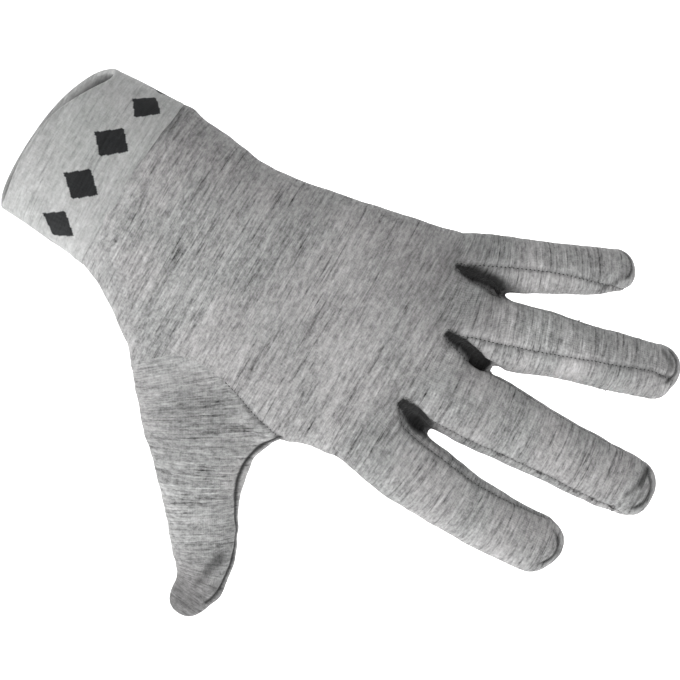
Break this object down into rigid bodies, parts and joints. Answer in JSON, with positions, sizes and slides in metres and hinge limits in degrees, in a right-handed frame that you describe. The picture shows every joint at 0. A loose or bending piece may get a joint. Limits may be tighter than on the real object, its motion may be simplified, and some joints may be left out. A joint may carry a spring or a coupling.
{
  "type": "glove liner",
  "caption": "Thin knitted glove liner for the left hand in its worn form, fingers spread, with a doubled cuff and narrow side strips between the fingers.",
  "frame": {"origin": "middle of the cuff's opening", "axes": "+X from the cuff along the hand to the fingertips, +Y from the back of the hand to the palm, +Z towards the little finger, with the thumb pointing to -Z"},
  "size_m": [0.2501, 0.0445, 0.1898],
  "materials": {
    "body_knit": "fine melange jersey, matt",
    "cuff_knit": "lighter melange jersey, doubled, matt"
  },
  "bodies": {
    "root": {"cuff": "cuff_knit", "hand_shell": "body_knit", "thumb": "body_knit", "side_strip_little_ring": "body_knit", "side_strip_ring_middle": "body_knit", "side_strip_middle_index": "body_knit"}
  },
  "joints": []
}
